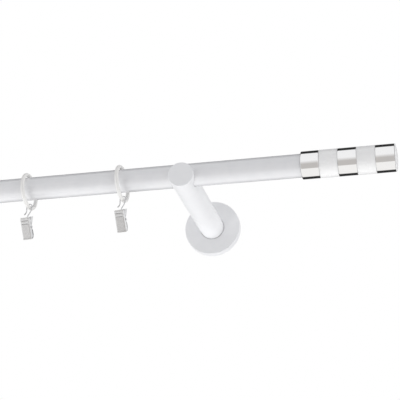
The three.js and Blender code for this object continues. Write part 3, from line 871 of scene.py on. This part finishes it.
# ---------- the object ----------
rod_low, rod_high = (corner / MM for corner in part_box("rod_tube"))
rod_centre = (rod_low + rod_high) / 2
for name in SIDES:
    bracket(name, rod_centre.y, rod_centre.z)
rod(rod_low.x, rod_high.x, rod_centre)
finial("right", rod_high.x, rod_centre)
finial("left", rod_low.x, rod_centre)
for number in RINGS:
    ring_set(number)

# ---------- camera ----------
AZIMUTH = math.radians(12.37)
ELEVATION = math.radians(-21.92)
DISTANCE = 1.339
TARGET = Vector((0.0146, -0.14195, -0.01884))
LENS = 113.4
SENSOR = 36
towards_camera = Vector((
    math.sin(AZIMUTH) * math.cos(ELEVATION), -math.cos(AZIMUTH) * math.cos(ELEVATION), math.sin(ELEVATION)))
camera = bpy.data.objects.new("camera", bpy.data.cameras.new("camera"))
camera.data.lens = LENS
camera.data.sensor_width = SENSOR
camera.location = TARGET + towards_camera * DISTANCE
camera.rotation_mode = "QUATERNION"
camera.rotation_quaternion = (-towards_camera).to_track_quat("-Z", "Y")
bpy.context.scene.collection.objects.link(camera)
bpy.context.scene.camera = camera


# ---------- floor and light ----------
FLOOR_HEIGHT = -3.7
FLOOR_HALF = 16
FLOOR_MIDDLE = -0.27
WHITE = (1, 1, 1)
SOFT_STRENGTH = 1.38
RIGHT_LIGHT = (0.8, 0.8, 0.805)
RIGHT_EDGE = (0.37, 0.68)
LEFT_LIGHT = (0.75, 0.75, 0.755)
LEFT_EDGE = (-0.6, -0.9)
LAMP_DIRECTION = (-0.55, -0.25, -0.8)
LAMP_DISTANCE = 1.5
LAMP_SIDE = 0.7
LAMP_POWER = 7


def studio_floor():
    bm = bmesh.new()
    bmesh.ops.create_grid(bm, x_segments=8, y_segments=8, size=FLOOR_HALF)
    mesh = bpy.data.meshes.new("studio_floor")
    bm.to_mesh(mesh)
    bm.free()
    floor = bpy.data.objects.new("studio_floor", mesh)
    floor.location = (FLOOR_MIDDLE, 0, FLOOR_HEIGHT)
    look = Look("pale_floor", (0.86, 0.86, 0.86), 0.8)
    look.colour(look.noise(300), (0.85, 0.85, 0.85), (0.88, 0.88, 0.88))
    mesh.materials.append(look.material)
    bpy.context.scene.collection.objects.link(floor)
    floor.visible_diffuse = False
    floor.visible_glossy = False
    floor.visible_shadow = False


def studio_light():
    """A tent of light round the rod, in bands along X: one set for metal to mirror, one to light paint."""
    world = bpy.data.worlds.new("studio")
    bpy.context.scene.world = world
    world.use_nodes = True
    tree = world.node_tree
    nodes, links = tree.nodes, tree.links
    nodes.clear()
    way = nodes.new("ShaderNodeTexCoord").outputs["Generated"]

    def dot(direction):
        made = nodes.new("ShaderNodeVectorMath")
        made.operation = "DOT_PRODUCT"
        links.new(way, made.inputs[0])
        made.inputs[1].default_value = direction
        return made.outputs["Value"]

    def ranged(value, low, high):
        made = nodes.new("ShaderNodeMapRange")
        made.interpolation_type = "SMOOTHSTEP"
        links.new(value, made.inputs["Value"])
        made.inputs["From Min"].default_value = low
        made.inputs["From Max"].default_value = high
        return made.outputs["Result"]

    def mixed(share, first, second):
        return mix_colours(tree, share, first, second)

    tilt = -ELEVATION
    forward = dot((0, -math.cos(tilt), -math.sin(tilt)))
    upward = dot((0, -math.sin(tilt), math.cos(tilt)))
    angle = nodes.new("ShaderNodeMath")
    angle.operation = "ARCTAN2"
    links.new(upward, angle.inputs[0])
    links.new(forward, angle.inputs[1])
    share = nodes.new("ShaderNodeMapRange")
    links.new(angle.outputs[0], share.inputs["Value"])
    share.inputs["From Min"].default_value = -math.pi
    share.inputs["From Max"].default_value = math.pi

    def tent(stops):
        """Colour by the angle in degrees round the rod, 0 towards the front and positive upwards."""
        bands = nodes.new("ShaderNodeValToRGB")
        links.new(share.outputs["Result"], bands.inputs["Fac"])
        elements = bands.color_ramp.elements
        while len(elements) < len(stops):
            elements.new(0.5)
        for element, (degrees, colour) in zip(elements, stops):
            element.position = (degrees + 180) / 360
            element.color = (*colour, 1)
        return bands.outputs["Color"]

    behind, flag = (0.5, 0.5, 0.51), (0.03, 0.03, 0.03)
    low, stripe, high = (0.94, 0.93, 0.915), (0.55, 0.53, 0.515), (0.93, 0.93, 0.935)
    mirrored = tent([
        (-180, behind), (-165, behind), (-160, flag), (-114, flag), (-108, low), (-30, low), (-26, stripe),
        (10, stripe), (36, high), (106, high), (112, flag), (160, flag), (165, behind), (180, behind),
    ])
    wall, front, above = (0.27, 0.27, 0.275), (0.11, 0.11, 0.113), (0.66, 0.66, 0.67)
    below, under = (0.7, 0.7, 0.705), (1, 1, 1)
    soft_light = tent([
        (-180, wall), (-116, wall), (-108, under), (-64, under), (-56, below), (-34, below), (-26, front),
        (26, front), (38, above), (108, above), (116, wall), (180, wall),
    ])
    along = dot((1, 0, 0))
    right, left = ranged(along, *RIGHT_EDGE), ranged(along, *LEFT_EDGE)

    def background(colour, strength):
        made = nodes.new("ShaderNodeBackground")
        if isinstance(colour, bpy.types.NodeSocket):
            links.new(colour, made.inputs["Color"])
        else:
            made.inputs["Color"].default_value = (*colour, 1)
        made.inputs["Strength"].default_value = strength
        return made.outputs[0]

    def either(share, first, second):
        made = nodes.new("ShaderNodeMixShader")
        for socket, value in zip(made.inputs, (share, first, second)):
            links.new(value, socket)
        return made.outputs[0]

    seen = nodes.new("ShaderNodeLightPath").outputs
    mirrored = mixed(left, mixed(right, mirrored, WHITE), WHITE)
    soft_light = mixed(left, mixed(right, soft_light, RIGHT_LIGHT), LEFT_LIGHT)
    lit = either(seen["Is Glossy Ray"], background(soft_light, SOFT_STRENGTH), background(mirrored, 1))
    whole = either(seen["Is Camera Ray"], lit, background(WHITE, 1))
    links.new(whole, nodes.new("ShaderNodeOutputWorld").inputs["Surface"])


def key_light():
    """A large soft lamp on the lower left that the polished metal doesn't mirror."""
    lamp = bpy.data.objects.new("key_light", bpy.data.lights.new("key_light", "AREA"))
    lamp.data.size = LAMP_SIDE
    lamp.data.energy = LAMP_POWER
    lamp.location = TARGET + Vector(LAMP_DIRECTION).normalized() * LAMP_DISTANCE
    lamp.rotation_mode = "QUATERNION"
    lamp.rotation_quaternion = Vector(LAMP_DIRECTION).to_track_quat("Z", "Y")
    lamp.visible_glossy = False
    lamp.visible_camera = False
    bpy.context.scene.collection.objects.link(lamp)


studio_floor()
studio_light()
key_light()
bpy.context.scene.view_settings.view_transform = "Standard"
